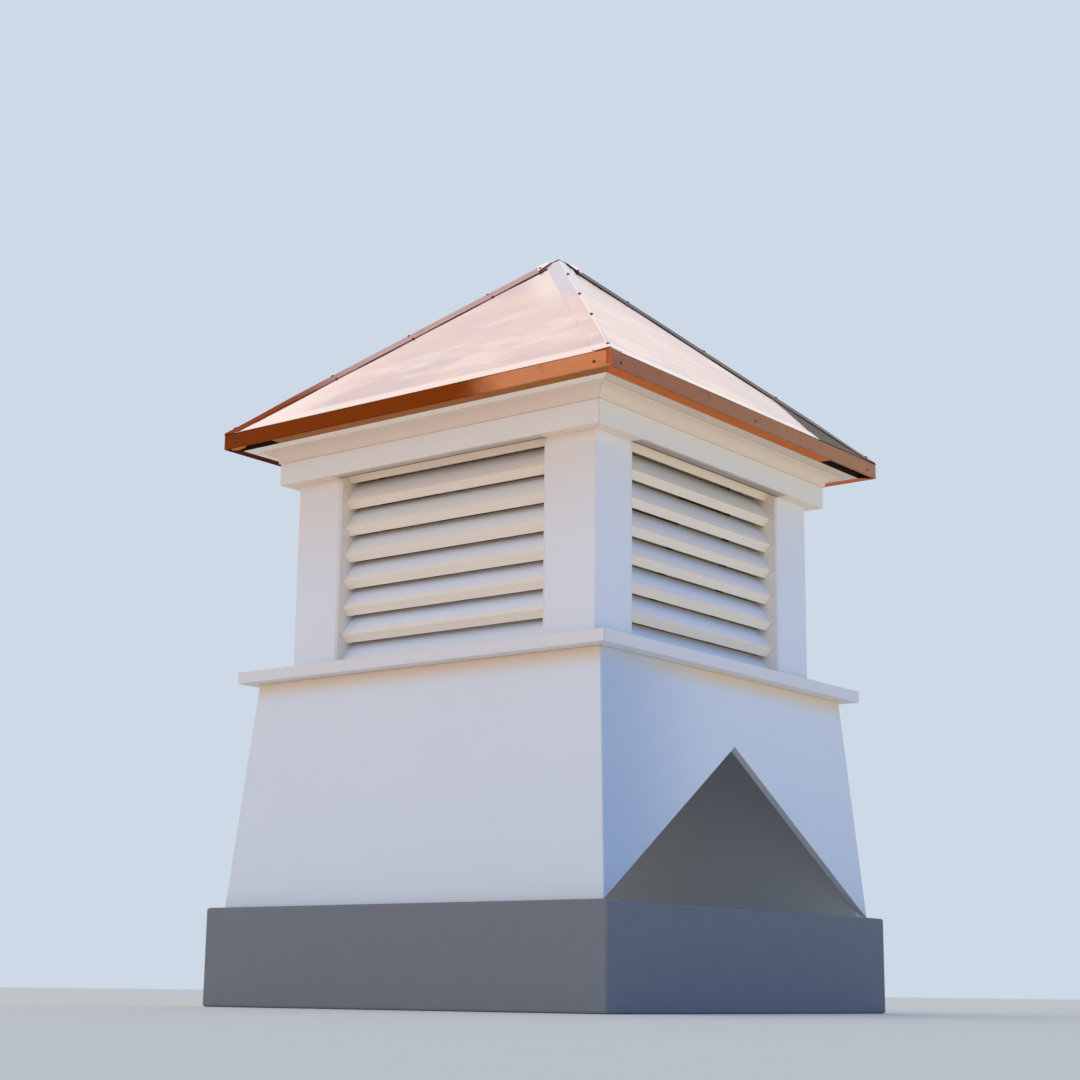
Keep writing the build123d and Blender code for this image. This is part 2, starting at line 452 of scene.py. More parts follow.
def floor_lamp(name, centre, size, power, colour):
    """A wide lamp that lies on the floor and faces up; neither the camera nor the copper sees it."""
    lamp_data = bpy.data.lights.new(name, "AREA")
    lamp_data.shape = "RECTANGLE"
    lamp_data.size, lamp_data.size_y = size
    lamp_data.energy = power
    lamp_data.color = colour
    lamp = bpy.data.objects.new(name, lamp_data)
    bpy.context.scene.collection.objects.link(lamp)
    lamp.matrix_world = Matrix.Translation((*centre, 0.01 - STAND_HEIGHT)) @ Matrix.Rotation(math.pi, 4, "X")
    lamp.visible_camera = False
    lamp.visible_glossy = False


floor_lamp("front floor lamp", (0.0, -2.6), (4.0, 2.4), 22.0, (1.0, 0.28, 0.05))
floor_lamp("right floor lamp", (2.6, 0.4), (2.4, 4.0), 40.0, (1.0, 0.81, 0.47))
print(world)

# %% [markdown]
# ## Finishes for the white parts
#
# The skirt and the mouldings are white board and the posts and louvres are white vinyl. Neither is a flat
# white: the paint has a very fine orange-peel, its sheen wanders a little, and each part has a tone of its
# own. Warm bounce light under the eaves and the sill is painted in, weaker on the faces towards the blue
# sky, which are cooler, and painted shade darkens some faces and edges. A strip of painted warm light is
# given by the heights where it starts, is full and ends, and its sharp end lies in the joint under a board.
# A tone that depends on more than the height is a function, which lays painted light or shade over the
# colour so far.

# %% White finishes
BOARD = (0.48, 0.00006)
VINYL = (0.38, 0.00003)


def white_finish(name, white, surface, strip=None, shade=None):
    """White paint; surface is its roughness and the depth of its fine peel.

    strip is the height where a strip of painted warm light starts, is full and ends, and its tone. shade
    takes the paint and its colour so far and gives the colour with one more touch on it.
    """
    roughness, peel = surface
    paint = new_finish(name)
    drift = paint.noise(3.5, 3)
    colour = paint.mix(0.10 * drift, white, tone(196, 198, 204))
    # A strip of painted warm light, standing in for warm bounce light.
    if strip:
        start, full, end, warm = strip
        level = paint.axis("Z")
        colour = paint.mix(level.rise(start, full) * level.rise(end + 0.001, end), colour, warm)
    if shade:
        colour = shade(paint, colour)
    fine = paint.noise(420, 2)
    sheen = roughness + 0.12 * (drift - 0.5) + 0.06 * (fine - 0.5)
    leaning = paint.bump(fine, peel)
    return paint.shade(Base_Color=colour, Roughness=sheen, Normal=leaning, Specular_IOR_Level=0.4)


def sky_side(paint):
    """1 on the right and the back, 0 on the front and the left."""
    return (paint.axis("X") + paint.axis("Y")).rise(0.0005, 0.0030)


def painted_shade_near_corner(paint, colour):
    """Painted shade: the right skirt board is a deeper, darker blue-white towards the front corner."""
    near = sky_side(paint) * paint.axis("X").rise(0.28, 0.29) * paint.axis("Y").rise(-0.02, -0.34)
    return paint.mix(near, colour, tone(196, 210, 230))


def shadowed_foot(paint, colour):
    """Over the louvres the frieze's underside gets painted shade, and a painted shadow line along its inner
    edge.
    """
    x, y = paint.axis("X"), abs(paint.axis("Y"))
    nearer = x.maths("MINIMUM", abs(x), y)
    underside = paint.axis("Z").rise(FRIEZE_FOOT + 0.0008, FRIEZE_FOOT + 0.0003)
    over = nearer.rise(POST_INNER + 0.002, POST_INNER) * underside
    painted_shade_share = 0.6 * paint.out().rise(0.310, 0.304) + 0.4 * (x - y).rise(0.0, 0.001)
    colour = paint.mix(over * painted_shade_share, colour, tone(184, 174, 164))
    # A painted shadow line where the underside meets the louvres.
    return paint.mix(over * paint.out().rise(0.2960, 0.2930), colour, tone(118, 88, 64))


def painted_warm_light_head(paint, colour):
    """Painted warm light: the posts turn warmer towards their heads, much less on the right and at the back,
    under the open sky.
    """
    share = paint.axis("Z").rise(0.450, 0.700) * (1 - 0.6 * sky_side(paint))
    return paint.mix(share, colour, tone(238, 228, 217))


def painted_shade_soffit(paint, colour):
    """Painted shade: the soffit is darker and yellower on the right and at the back, and its outer edge is
    painted dark for the shaded gap one looks up into.
    """
    colour = paint.mix(sky_side(paint), colour, tone(226, 210, 194))
    edge = paint.out().rise(SOFFIT_EDGE - 0.0006, SOFFIT_EDGE - 0.0002)
    return paint.mix(edge, colour, tone(50, 32, 22))


# Painted warm bounce light: a warm strip under the sill on the skirt, and at the foot of the frieze.
SKIRT_PAINTED_WARM_LIGHT = (0.310, 0.338, 0.345, tone(240, 219, 194))
FRIEZE_PAINTED_WARM_LIGHT = (FRIEZE_FOOT - 0.002, FRIEZE_FOOT - 0.001, FRIEZE_FOOT + 0.0006, tone(246, 231, 212))
skirt_white = white_finish("skirt white", tone(236, 241, 247), BOARD, SKIRT_PAINTED_WARM_LIGHT, painted_shade_near_corner)
sill_white = white_finish("sill white", tone(237, 235, 235), BOARD)
frieze_white = white_finish("frieze white", tone(241, 238, 231), BOARD, FRIEZE_PAINTED_WARM_LIGHT, shadowed_foot)
# The crown's cream tone is painted warm bounce light under the eaves, on a white board.
crown_painted_warm = white_finish("crown cream", tone(238, 222, 203), BOARD)
soffit_cream = white_finish("soffit cream", tone(254, 250, 238), BOARD, None, painted_shade_soffit)
post_vinyl = white_finish("post vinyl", tone(238, 242, 247), VINYL, None, painted_warm_light_head)
print("white finishes:", [paint.name for paint in (skirt_white, sill_white, frieze_white, crown_painted_warm)])

# %% [markdown]
# ## The sill, the frieze and the crown
#
# Each is a board with one cross-section that runs along all four sides and is mitred at the corners. The CAD
# has the same sections with sharp edges. A real board's edges are eased, and they catch a thin light line,
# and the two eased edges of a mitre leave the fine dark line seen at each corner. So each side is made
# again: the section's points at the two ends of the side, with x equal to plus or minus the distance out.

# %% Boards with eased edges
MITRE_GAP = 0.00015
COVE_RADIUS = 0.015


def mitred_side(side, word, outline, material, ends=(None, None)):
    """A closed outline of (distance out, height) points carried along one side between its corner diagonals.

    An end is on the diagonal, where x is the distance out, unless ends gives the x at which it is cut.
    """
    out, height = np.asarray(outline, float).T
    left = -(out - MITRE_GAP) if ends[0] is None else np.full_like(out, ends[0])
    right = out - MITRE_GAP if ends[1] is None else np.full_like(out, ends[1])
    grid = side_by_side(np.stack([left, right]), -out, height)
    return side_shell(side, word, grid, material)


def crown_outline():
    """A square fillet, a quarter-round hollow of COVE_RADIUS and a lip, from the foot to the soffit."""
    foot = np.array([FRIEZE_FACE + 0.0025, FRIEZE_TOP + 0.003])
    head = np.array([FRIEZE_FACE + 0.018, SOFFIT_FOOT - 0.0035])
    lip_out = FRIEZE_FACE + 0.020
    back = [(BOX_HALF, SOFFIT_FOOT), (BOX_HALF, FRIEZE_TOP), (foot[0], FRIEZE_TOP)]
    lip = [(lip_out, head[1]), (lip_out, SOFFIT_FOOT)]
    return np.concatenate([back, arc(foot, head, COVE_RADIUS, -1), lip])


def block(inner, outer, foot, top):
    """The outline of a plain board."""
    return [(inner, foot), (outer, foot), (outer, top), (inner, top)]


TRIM = {
    "sill": ("ledge", block(POST_INNER, SILL_EDGE, SILL_FOOT, SILL_TOP), sill_white, 0.0012),
    "frieze": ("band", block(BOX_HALF, FRIEZE_FACE, FRIEZE_FOOT, FRIEZE_TOP), frieze_white, 0.0008),
    "crown": ("cove", crown_outline(), crown_painted_warm, 0.0006),
}
for side in SIDES:
    for node, (word, outline, paint, width) in TRIM.items():
        board = mitred_side(side, word, outline, paint)
        settle(ease(board, width), "white_board", f"{side}_{node}")
print("boards made again with eased edges:", len(TRIM) * len(SIDES))

# %% [markdown]
# ## The skirt
#
# Four boards lean in towards the sill. The gable sides are notched to sit over the house's ridge, so their
# foot is not level, and the mitre at a corner follows the lean. All of it comes from one rule: a face whose
# foot is at a distance out leans in by the same amount for each unit of height. A grid of three stations
# (left corner, middle, right corner) by four points (outer foot, outer head, inner head, inner foot) holds
# the board, and the corners and the long edges are eased after that.

# %% Skirt boards
SKIRT_HEAD = 0.3255
SKIRT_WALL = 0.0125
LEAN = (SKIRT_FOOT - SKIRT_HEAD) / SILL_FOOT
HOUSE_PITCH = 8 / 12


def skirt_board(side):
    """Foot height is (SKIRT_FOOT - |x|) * pitch, and distance out is the face's own foot - LEAN * height.

    A corner lies where x equals the distance out, which gives x = (foot - k * SKIRT_FOOT) / (1 - k) with
    k = LEAN * pitch. A level foot is the same rule with a pitch of 0.
    """
    pitch = HOUSE_PITCH if side in ("right", "left") else 0.0
    faces = np.array([SKIRT_FOOT, SKIRT_FOOT - SKIRT_WALL])
    share = np.array([-1.0, 0.0, 1.0])[:, None]
    k = LEAN * pitch
    foot_x = share * (faces - k * SKIRT_FOOT) / (1 - k)
    foot_z = (SKIRT_FOOT - abs(foot_x)) * pitch
    foot = side_by_side(foot_x, LEAN * foot_z - faces, foot_z)
    head_out = faces - LEAN * SILL_FOOT
    head = side_by_side(share * head_out, -head_out, SILL_FOOT)
    grid = np.stack([foot[:, 0], head[:, 0], head[:, 1], foot[:, 1]], axis=1)
    board = side_shell(side, "skirt_board", grid, skirt_white)
    return settle(ease(board, 0.0010), "white_board", f"{side}_skirt")


for side in SIDES:
    skirt_board(side)
print("skirt leans in", round(math.degrees(math.atan(LEAN)), 2), "degrees")

# %% [markdown]
# ## The louvres
#
# A blade is a thin strip with one bent section: a lip, a bevel up to the nose, and a front that bows gently
# back and up. The eight blades of a side are one stack of grids. The bow is an arc through the nose and the
# back edge, and the inner face is the outer one moved in by the wall: each point moves along the mean of the
# normals of the two runs that meet there, stretched so that both runs keep their distance.

# %% Blades
BLADES = 8
BLADE_PITCH = 0.296 / (BLADES - 1)
BLADE_WALL = 0.0025
BLADE_RADIUS = 0.160
LIP = np.array([BOX_HALF - 0.0205, 0.0])
NOSE = np.array([BOX_HALF - 0.0095, 0.011])
BACK = np.array([BOX_HALF - 0.0386, 0.048])


def blade_painted_light_and_shade(paint, colour):
    """Painted warm light: cream on each bevel, fading into the bow, warmer on the upper blades.
    Painted shade: a dark upper edge on each bow, and dark where the blades lie behind the frieze.

    The share of a pitch is the fraction of (height over the sill / pitch), so it repeats with the blades.
    """
    height = paint.axis("Z")
    share = ((height - SILL_TOP) / BLADE_PITCH).fraction()
    # Painted warm light on the bevels, and more of it on the upper blades.
    cream = paint.mix(height.rise(0.59, 0.66), tone(252, 242, 226), tone(246, 230, 208))
    colour = paint.mix(height.rise(0.44, 0.62), colour, tone(238, 235, 229))
    colour = paint.mix(share.rise(0.58, 0.24), colour, cream)
    # Painted shade: the bow's upper edge under the next lip, and what lies behind the frieze.
    colour = paint.mix(paint.out().rise(BACK[0] + 0.0030, BACK[0] + 0.0016), colour, tone(66, 50, 40))
    behind = height.rise(FRIEZE_FOOT + 0.0060, FRIEZE_FOOT + 0.0075)
    return paint.mix(behind, colour, tone(124, 94, 62))


def cool_front(paint, colour):
    """The jambs' narrow front edge keeps the post's cooler white, left out of the jambs' painted warm light.
    """
    return paint.mix(paint.out().rise(BOX_HALF - 0.0016, BOX_HALF - 0.0010), colour, tone(236, 230, 226))


# The jambs' bright warm tone and their warm strip near the top are painted warm light in the recess.
JAMB_PAINTED_WARM_LIGHT = (0.520, 0.690, 0.720, tone(250, 237, 216))
louvre_vinyl = white_finish("louvre vinyl", tone(238, 244, 254), VINYL, None, blade_painted_light_and_shade)
jamb_vinyl = white_finish("jamb vinyl", tone(252, 243, 229), VINYL, JAMB_PAINTED_WARM_LIGHT, cool_front)


def offset_in(path, distance):
    """The same path moved to its left: every run keeps its distance, and corners meet on their bisector."""
    runs = np.diff(path, axis=0)
    runs /= np.linalg.norm(runs, axis=1)[:, None]
    normals = side_by_side(-runs[:, 1], runs[:, 0])
    before, after = np.vstack([normals[:1], normals]), np.vstack([normals, normals[-1:]])
    middle = before + after
    middle /= np.einsum("ij,ij->i", middle, before)[:, None]
    return path + distance * middle


def blade_outline():
    """Lip, nose and an arc of BLADE_RADIUS to the back edge, closed by the same line moved in."""
    outer = np.vstack([LIP, arc(NOSE, BACK, BLADE_RADIUS, 1)])
    return np.vstack([outer, offset_in(outer, BLADE_WALL)[::-1]])


def blade_stack(side):
    """The outline at both ends of the opening, repeated at every blade's height."""
    out, height = blade_outline().T
    level = SILL_TOP + BLADE_PITCH * np.arange(BLADES)[:, None, None] + height
    end = np.array([-1.0, 1.0])[:, None] * (POST_INNER - JAMB)
    grids = side_by_side(end, -out, level)
    stack = side_shell(side, "blade_stack", grids, louvre_vinyl)
    return settle(ease(stack, 0.0007), "white_vinyl", f"{side}_louvre_blades")


for side in SIDES:
    blade_stack(side)
print("blades on each side:", BLADES, "with a pitch of", round(BLADE_PITCH * 1000, 1), "mm")

# %% [markdown]
# ## The blades' end plates
#
# Each blade ends in a thin moulded plate that lies against the jamb and fills the space up to the next
# plate, so a fine seam runs from every nose to the post. A plate is a flat outline with a little thickness.
# The seams are the gaps between plates, so the outline stops short of its neighbour's by the gap.

# %% End plates
PLATE = 0.0009
SEAM = 0.0005
PLATE_TOP = FRIEZE_FOOT + 0.030


def plate_outline():
    """From the post's edge in to the nose, round the lip, up the back by one pitch and out again."""
    low = np.array([(0.0014, 0.0140), (0.0095, 0.0110), (0.0205, 0.0), (0.0300, 0.0)])
    high = low[::-1] + (0.0, BLADE_PITCH - SEAM)
    setback, height = np.vstack([low, high]).T
    return side_by_side(BOX_HALF - setback, height)


def end_plates(side):
    """The outline at two close values of x beside each jamb, at every blade and one pitch below the first.

    A plate's height is held between the sill and PLATE_TOP, which lies behind the frieze.
    """
    out, height = plate_outline().T
    level = SILL_TOP + BLADE_PITCH * np.arange(-1, BLADES)[:, None, None] + height
    level = np.clip(level, SILL_TOP + 0.0002, PLATE_TOP)
    face = POST_INNER - JAMB
    near = np.array([face, face - PLATE])[:, None]
    stacks = [side_by_side(way * near, -out, level) for way in (-1, 1)]
    grids = np.concatenate([stacks[0], stacks[1][:, ::-1]])
    plates = side_shell(side, "end_plates", grids, jamb_vinyl)
    return settle(ease(plates, 0.0002, 1), "white_vinyl")


for side in SIDES:
    end_plates(side)
print("end plates on each side:", 2 * (BLADES + 1))

# %% [markdown]
# ## Finishes for the copper
#
# Sheet copper is a mirror with a colour: at the flat angle of this picture it turns nearly white and takes
# the colour of the sky. So the sheets get the true colour of copper, a low roughness and a slow swell, with
# clouds of peach and cream painted on as reflections of clouds in the sky. Some then get a touch of their
# own: a painted reflection at a brighter end, a painted highlight and painted shade along the hip's fold, or
# a dull dark wedge that hardly shines. The drip edges and the rivets are the same metal, handled more and
# browner; three hip caps are that metal too, and their brown, pink and grey tones are painted reflections.
# Seen nearly along its surface a brown that mirrors turns pale, so the hems are half metal at most, and the
# foot of a brown hip cap isn't metal at all. The left hem's dark copper is painted shade. Two kinds of cut
# edge have a plain tone: a pale one is a painted highlight, a dark one a painted shadow line.

# %% Copper sheets
ROSE = tone(217, 184, 182)
PEACH = tone(234, 197, 184)
CREAM = tone(246, 218, 203)
BRIGHT = tone(255, 230, 218)
REFLECTED_LAVENDER = tone(208, 199, 212)
DULL_DARK_BROWN = tone(68, 50, 40)


def sheet_finish(name, base=ROSE, touch=None, dark_wedge=None):
    """Rose copper with peach and cream clouds of painted reflection, and a painted highlight strip over the
    drip edge's flange.

    touch takes the metal and its colour so far and gives the colour with one more touch on it. The last
    argument says from 0 to 1 where the copper turns a dull dark brown that hardly shines.
    """
    metal = new_finish(name)
    # Painted reflections: the peach clouds and the cream streaks stand in for clouds mirrored in the copper.
    clouds = metal.noise(3.6, 3, stretch=(1.0, 1.0, 1.8))
    streaks = metal.noise(5.0, 4, stretch=(1.0, 1.0, 4.0), turn=(0.0, 0.25, 0.2))
    colour = metal.mix(clouds.rise(0.42, 0.60), base, PEACH)
    colour = metal.mix(0.8 * streaks.rise(0.52, 0.68), colour, CREAM)
    level = metal.axis("Z")
    # A painted highlight over the drip edge's flange.
    colour = metal.mix(0.85 * level.rise(EAVE_TOP + 0.019, EAVE_TOP + 0.013), colour, BRIGHT)
    if touch:
        colour = touch(metal, colour)
    rough = 0.12 + 0.10 * metal.noise(9, 3)
    shine = 1.0
    if dark_wedge:
        dull = dark_wedge(metal)
        colour = metal.mix(dull, colour, DULL_DARK_BROWN)
        rough = rough + 0.4 * dull
        shine = 1 - 0.9 * dull
    swell = metal.noise(4.0, 2)
    return metal.shade(Base_Color=colour, Metallic=shine, Roughness=rough, Normal=metal.bump(swell, 0.006))


def across_hip(metal):
    """Distance from the front hip's line in plan: below zero on the front side, above zero on the right."""
    return (metal.axis("X") + metal.axis("Y")) / math.sqrt(2)


def painted_reflection_front(metal, colour):
    """Painted reflection: the front sheet is brighter towards the left eave corner, and creamy beside the hip
    near the top.
    """
    colour = metal.mix(metal.axis("X").rise(-0.15, -0.29), colour, BRIGHT)
    beside = across_hip(metal).rise(-0.075, -0.035) * metal.axis("Z").rise(0.90, 0.96)
    return metal.mix(0.8 * beside, colour, tone(252, 226, 210))


def dull_dark_wedge(metal):
    """The right sheet turns dull and dark in a wedge between the back hip and the eave, with a wandering
    edge.
    """
    wander = 0.030 * (metal.noise(16, 4) - 0.5)
    return (metal.axis("Y") + 0.42 * metal.axis("X") + wander).rise(0.338, 0.352)


def painted_sky_reflection(metal, colour):
    """Painted reflection: the apex cap is made the brightest piece of the roof."""
    return metal.mix(0.7, colour, tone(255, 242, 236))


def front_hip_line(metal, colour):
    """Painted reflection: lavender at the top, rose lower down. Along the fold a painted highlight line lies
    beside a painted shade line.
    """
    level = metal.axis("Z")
    across = across_hip(metal)
    colour = metal.mix(level.rise(0.88, 0.98), colour, REFLECTED_LAVENDER)
    # A painted highlight line beside the fold, then a painted shade line on its other side.
    colour = metal.mix(across.within(-0.0014, -0.0003, 0.0004), colour, tone(255, 246, 240))
    crest_shade_share = 0.2 + 0.75 * (level.rise(0.910, 0.930) + level.rise(0.800, 0.785))
    return metal.mix(crest_shade_share * across.within(0.0003, 0.0012, 0.0003), colour, tone(70, 48, 44))


sheet_plain = sheet_finish("bright copper sheet")
sheet_front = sheet_finish("bright copper sheet, front", touch=painted_reflection_front)
sheet_right = sheet_finish("bright copper sheet, stained corner", dark_wedge=dull_dark_wedge)
hip_bright = sheet_finish("bright hip cap copper", touch=front_hip_line)
# The apex cap's near-white base and its brightening are painted reflection of the bright sky.
lid_copper = sheet_finish("apex cap copper", tone(255, 240, 234), painted_sky_reflection)


# %% Handled copper
def edge_finish(name, dull, bright, share, spots=0.5, shine=1.0, gloss=0.5, touch=None):
    """Brown to orange copper; share says how bright it is from place to place, touch adds one more tone.

    shine says how metallic it is, as one number or as a pair for the dull and the bright copper. gloss says
    how strongly the rest of it mirrors.
    """
    metal = new_finish(name)
    patch = metal.noise(14, 4)
    bright_share = share(metal, patch)
    metallic = shine
    if isinstance(shine, tuple):
        metallic = shine[0] + (shine[1] - shine[0]) * bright_share
    colour = metal.mix(bright_share, dull, bright)
    fade = metal.noise(40, 4, roughness=0.6)
    colour = metal.mix(spots * fade.rise(0.52, 0.75), colour, tone(134, 72, 40))
    if touch:
        colour = touch(metal, colour)
    return metal.shade(
        Base_Color=colour,
        Metallic=metallic,
        Roughness=0.30 + 0.14 * patch,
        Specular_IOR_Level=gloss,
        Normal=metal.bump(metal.noise(60, 3), 0.0004),
    )


def along_front(metal, patch):
    """Dark to bright from left to right along the front."""
    return (metal.axis("X") + 0.09 * (patch - 0.5)).rise(0.10, 0.20)


def along_right(metal, patch):
    """Dark to bright from the front to the back of the right side."""
    return (metal.axis("Y") + 0.2 * (patch - 0.5)).rise(-0.35, 0.35)


def up_the_hip(metal, patch):
    """Dark at the foot of a hip, bright above it: a painted reflection on the hip caps."""
    return (metal.axis("Z") + 0.05 * (patch - 0.5)).rise(0.78, 0.89)


def red_lap(metal, colour):
    """The lap round the front corner is redder than the face that it belongs to."""
    return metal.mix(metal.axis("Y").rise(-0.3730, -0.3750), colour, tone(206, 92, 50))


front_edge = edge_finish("front drip edge copper", tone(145, 60, 2), tone(235, 145, 94), along_front, 0.3)
right_edge = edge_finish(
    "right drip edge copper", tone(168, 111, 83), tone(182, 128, 92), along_right, touch=red_lap
)
plain_edge = edge_finish("plain drip edge copper", tone(160, 92, 50), tone(206, 134, 98), along_right)
hem_copper = edge_finish("hem copper", tone(222, 112, 22), tone(224, 112, 22), along_right, 0.3, 0.5, 0.0)
hem_olive = edge_finish(
    "front hem copper", tone(176, 108, 44), tone(180, 114, 48), along_right, 0.3, 0.5, 0.0
)
# The left hem's dark copper is painted shade on the far side's underside.
hem_dark = edge_finish("dark hem copper", tone(96, 44, 38), tone(104, 50, 42), along_right, 0.3, 0.0, 0.0)
tab_copper = edge_finish("torn tab copper", tone(226, 140, 56), tone(252, 176, 96), along_right, 0.2)
# Painted reflection: the brown hip caps' dark foot and pinkish upper part, and the grey back right cap, copy
# what the copper mirrors.
hip_brown = edge_finish(
    "brown hip cap copper", tone(176, 88, 50), tone(198, 158, 153), up_the_hip, 0.3, (0.0, 0.9), 0.0
)
hip_grey = edge_finish("grey hip cap copper", tone(80, 62, 54), tone(80, 62, 54), up_the_hip, 0.3, 0.3, 0.2)
rivet_copper = edge_finish("rivet copper", tone(126, 70, 42), tone(150, 92, 62), along_right)

# The front sheet's cut edge is a painted highlight, pale and not metallic, with painted shade where it runs
# under the hip caps.
painted_highlight = new_finish("cut edge, polished")
under_the_cap = abs(painted_highlight.axis("X")).rise(0.350, 0.354)
rim_colour = painted_highlight.mix(under_the_cap, tone(252, 232, 214), tone(120, 58, 30))
painted_highlight_rim = painted_highlight.shade(Base_Color=rim_colour, Roughness=0.5)
# The apex cap's cut edge is painted dark: a painted shadow line under its proud edge.
painted_shadow_rim = new_finish("cut edge, tarnished").shade(Base_Color=tone(74, 56, 46), Roughness=0.5)

# The plywood's grain is its own; its very dark tone is painted shade, for the gap under the eave where it
# shows.
ply = new_finish("plywood")
grain = ply.noise(9, 6, stretch=(1.0, 14.0, 14.0))
ply_grain_and_shade = ply.mix(grain, tone(58, 40, 28), tone(92, 66, 46))
ply_material = ply.shade(Base_Color=ply_grain_and_shade, Roughness=0.7 + 0.2 * grain)
print(ply)

# %% [markdown]
# ## The copper roof
#
# The four sheets are thin and never quite flat: they rest on the drip edge's flange at the eave, dip just
# above it, and bulge a little between the hips. A sheet is a grid over how far out a point is and its share
# of the half width. The height is the roof's plane plus the dip and a sum of slow waves, and the waves die
# away at the hips, where the caps hold the sheet down.

# %% Roof sheets
def smooth(value):
    """0 at 0 and below, 1 at 1 and above, and an S curve between."""
    value = np.clip(value, 0.0, 1.0)
    return value * value * (3 - 2 * value)


def roof_height(out):
    """Height of the sheets' underside at a distance out from the middle."""
    return EAVE_TOP + (EAVE - out) * SLOPE


def roof_sheet(side):
    """Plane + dip of 0.6 mm past the flange + waves of up to 0.8 mm that vanish at the hips."""
    turn = SIDES.index(side)
    near_eave = np.linspace(0.0, 0.045, 24)
    up_slope = np.concatenate([near_eave, np.linspace(0.045, EAVE - SHEET_END, 44)[1:]])
    out, share = np.meshgrid(EAVE - up_slope, np.linspace(-1, 1, 97), indexing="ij")
    across = share * out
    held = (1 - share**4) * smooth((EAVE - out) / 0.05)
    waves = np.sin(19 * across + 2.1 * turn) * np.cos(23 * out + turn)
    waves += 0.6 * np.sin(41 * across - 31 * out + turn)
    dip = 0.0006 * smooth(((EAVE - out) * SLANT - 0.021) / 0.009) * (1 - share**8)
    height = roof_height(out) + SHEET * SLANT + 0.0005 * held * waves - dip
    grid = side_by_side(across, -out, height)
    material = {"front": sheet_front, "right": sheet_right}.get(side, sheet_plain)
    sheet = side_shell(side, "copper_sheet", grid, material, solid=False)
    rim = painted_highlight_rim if side == "front" else None
    return settle(thicken(sheet, SHEET, rim), "copper", f"{side}_roof_sheet")


for side in SIDES:
    roof_sheet(side)
print("roof sheets rise", round(math.degrees(math.atan(SLOPE)), 1), "degrees")

# %% [markdown]
# ## The hip caps
#
# A bent strip covers each hip. It stands up to a soft crest along the hip, comes down to the sheet on both
# sides and ends in a hem, a narrow fold of double thickness. Rivets hold it every 150 mm or so, and between
# them the hem lifts slightly. The section is drawn in the plane square to the hip, with one axis level across
# it and one axis up, and is carried down the hip until it meets the eave's plane. For a point of the section
# that plane is where the larger of |x| and |y| reaches the eave.

# %% Hip caps
DOWN_HIP = np.array([1.0, -1.0, -SLOPE]) / math.sqrt(2 + SLOPE**2)
ACROSS_HIP = np.array([1.0, 1.0, 0.0]) / math.sqrt(2)
UP_HIP = np.cross(DOWN_HIP, ACROSS_HIP)
UP_HIP *= np.sign(UP_HIP[2])
FALL = math.acos(math.sqrt((2 + SLOPE**2) / 2) / SLANT)
FLANGE = 0.024
LAP = 0.004
CREST = 0.0045
CREST_ROUND = 0.0008
HEM_STEP = 0.0003
UNDER_LID = 0.0024
APEX_RIM = 0.015
RIVET_STATIONS = np.array([0.135, 0.285, 0.427, 0.605])
LAP_RIVET = 0.0196
HALF_SECTION = np.array([0, 0.5, 1.2, 3, 6, 10, 14, 16.8, 17.8, 18.3, 18.9, 20, 21.3]) / 1000


def hip_section(across, flat=0.0):
    """Height above the hip line: the higher of the lap on the sheet and the slope up to a rounded crest.

    flat goes from 0 to 1 where the cap is pressed down until only the lap's height is left.
    """
    lap_foot = (FLANGE - LAP) * math.cos(FALL)
    lap = (2 * SHEET) / math.cos(FALL) - across * math.tan(FALL)
    steep = (CREST - (2 * SHEET / math.cos(FALL) - lap_foot * math.tan(FALL))) / lap_foot
    slope = CREST - steep * np.sqrt(across**2 + CREST_ROUND**2)
    hem = HEM_STEP * smooth((across - lap_foot - 0.0006) / 0.0005)
    raised = np.maximum(lap, slope)
    return raised + flat * (lap - raised) + hem


def pressed(down):
    """How far the cap is pressed flat at a distance down the hip: not above 0.48 m, by 0.85 below 0.60 m."""
    return 0.85 * smooth((down - 0.48) / 0.12)


def hip_point(across, height, down):
    """A point of the section carried a distance down the hip from the apex."""
    place = down[..., None] * DOWN_HIP + across[..., None] * ACROSS_HIP + height[..., None] * UP_HIP
    return place + (0, 0, APEX)


def lid_height(out):
    """Height of the apex cap at a distance out: it falls less steeply than the roof, then as steeply."""
    shoulder = roof_height(0.018) + 0.0047 * math.sqrt(1 + SLOPE**2 / 2) + 0.0008
    places = np.array([0.0005, 0.0020, 0.0080, 0.0170, 0.0185])
    rises = np.array([0.0098, 0.0089, 0.0054, 0.0008, -0.0004])
    beyond = np.maximum(out - places[-1], 0.0) * SLOPE
    return shoulder + np.interp(out, places, rises) - beyond


